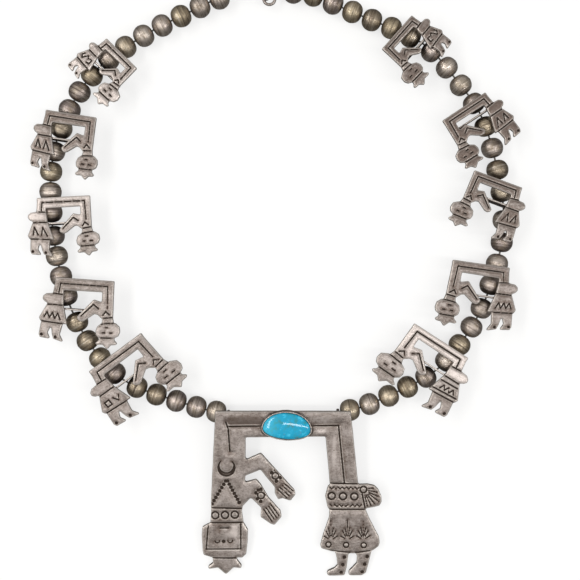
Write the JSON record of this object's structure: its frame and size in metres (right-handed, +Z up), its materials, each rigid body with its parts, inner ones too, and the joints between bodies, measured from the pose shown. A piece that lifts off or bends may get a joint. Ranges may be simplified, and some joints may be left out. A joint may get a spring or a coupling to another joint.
{
  "type": "squash blossom necklace",
  "caption": "Closed loop of round silver beads with graduated cast rainbow figures and one large figure pendant set with a turquoise, laid flat.",
  "frame": {"origin": "middle of the whole necklace where it lies, at the height of the table", "axes": "+Z up from the table, +Y from the main pendant up to the clasp, +X to the side of the figures on the right"},
  "size_m": [0.2143, 0.2603, 0.015],
  "materials": {
    "bead_silver": "worn, oxidised bench-made silver",
    "cast_silver": "cast silver, dark in its grooves, worn bright on its edges",
    "clasp_silver": "plain silver wire",
    "string_wire": "dark braided wire",
    "turquoise": "polished turquoise, opaque"
  },
  "bodies": {
    "root": {"beads_left": "bead_silver", "beads_right": "bead_silver", "thread": "string_wire", "figure_left_1": "cast_silver", "figure_left_2": "cast_silver", "figure_left_3": "cast_silver", "figure_left_4": "cast_silver", "figure_left_5": "cast_silver", "figure_right_1": "cast_silver", "figure_right_2": "cast_silver", "figure_right_3": "cast_silver", "figure_right_4": "cast_silver", "figure_right_5": "cast_silver", "main_pendant": "cast_silver", "turquoise": "turquoise", "eye_ring": "clasp_silver", "hook": "clasp_silver"}
  },
  "joints": []
}
